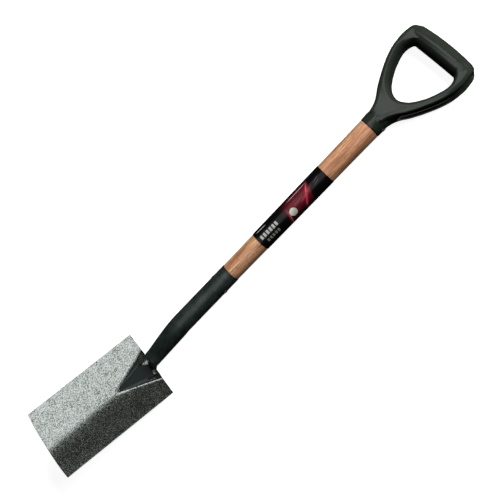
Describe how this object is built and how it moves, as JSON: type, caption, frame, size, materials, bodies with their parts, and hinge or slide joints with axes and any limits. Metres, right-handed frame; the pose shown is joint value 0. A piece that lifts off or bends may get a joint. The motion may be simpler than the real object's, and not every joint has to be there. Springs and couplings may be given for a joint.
{
  "type": "garden spade",
  "caption": "Border spade with a dished rectangular steel blade, tubular steel socket, round wooden shaft and moulded D handle.",
  "frame": {"origin": "centre of the bounding box's bottom face; the spade lies on its back on Z = 0", "axes": "+X along the shaft towards the handle, +Y towards the spade's left, +Z out of the front of the blade"},
  "size_m": [0.9654, 0.14, 0.101],
  "materials": {
    "hammered_paint": "glossy dark green-grey hammer-effect paint",
    "socket_paint": "dark green-black hammer-effect paint, semi-gloss",
    "weld_paint": "painted weld bead, semi-gloss",
    "rivet_steel": "bright zinc-plated steel",
    "varnished_wood": "varnished reddish-brown hardwood",
    "label_film": "glossy black printed film with crimson light streaks",
    "moulded_plastic": "satin dark green-black moulded plastic"
  },
  "bodies": {
    "root": {"blade": "hammered_paint", "socket": "socket_paint", "weld_left": "weld_paint", "weld_right": "weld_paint", "socket_rivet": "rivet_steel", "shaft": "varnished_wood", "label_sleeve": "label_film", "handle": "moulded_plastic", "handle_rivet": "rivet_steel"}
  },
  "joints": []
}
